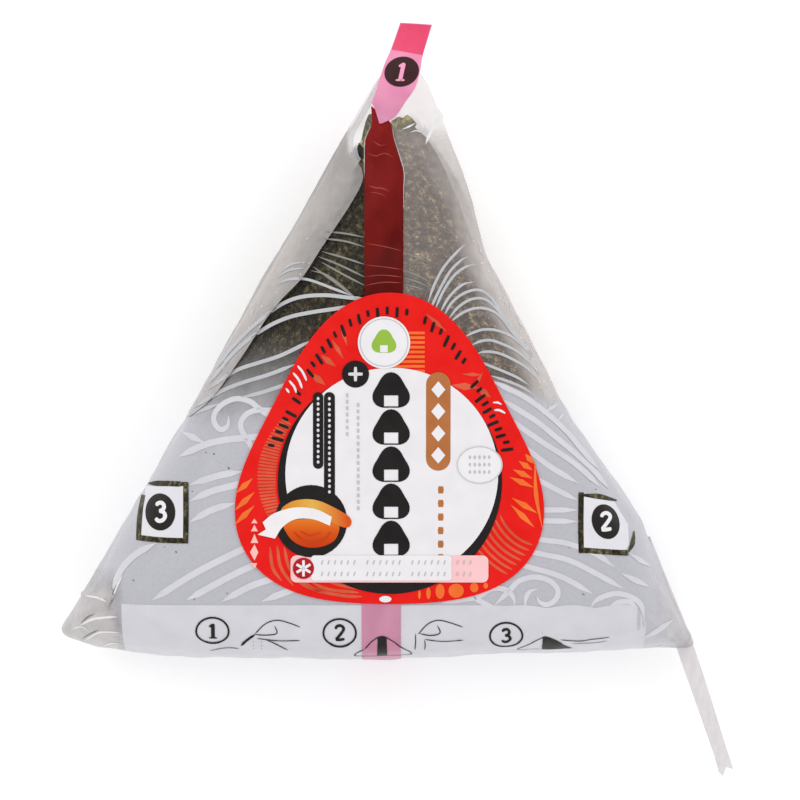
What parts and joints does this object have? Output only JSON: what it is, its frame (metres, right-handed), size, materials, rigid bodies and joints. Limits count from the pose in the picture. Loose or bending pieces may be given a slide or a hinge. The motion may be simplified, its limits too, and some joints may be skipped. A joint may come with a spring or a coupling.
{
  "type": "wrapped onigiri rice ball",
  "caption": "Triangular rice ball with seaweed in a clear printed film pack, with a tear tape, a pull tab at the peak and a sticker on the front.",
  "frame": {"origin": "middle of the flat back that the pack lies on", "axes": "+Z out of the printed front, +Y towards the peak with the pull tab, +X to the right of someone looking at the front"},
  "size_m": [0.107, 0.1201, 0.0324],
  "materials": {
    "film": "clear glossy film with a pale grey print, thin and slightly wrinkled, over dark green seaweed",
    "tear_tape": "see-through red film, dark where the seaweed lies under it, slightly wrinkled",
    "label": "smooth printed sticker, satin",
    "pull_tab": "printed pink film, satin",
    "clear_film": "clear film, glossy"
  },
  "bodies": {
    "root": {"film_pack": "film", "tear_tape": "tear_tape", "label": "label", "pull_tab": "pull_tab", "tail_strip": "clear_film"}
  },
  "joints": []
}
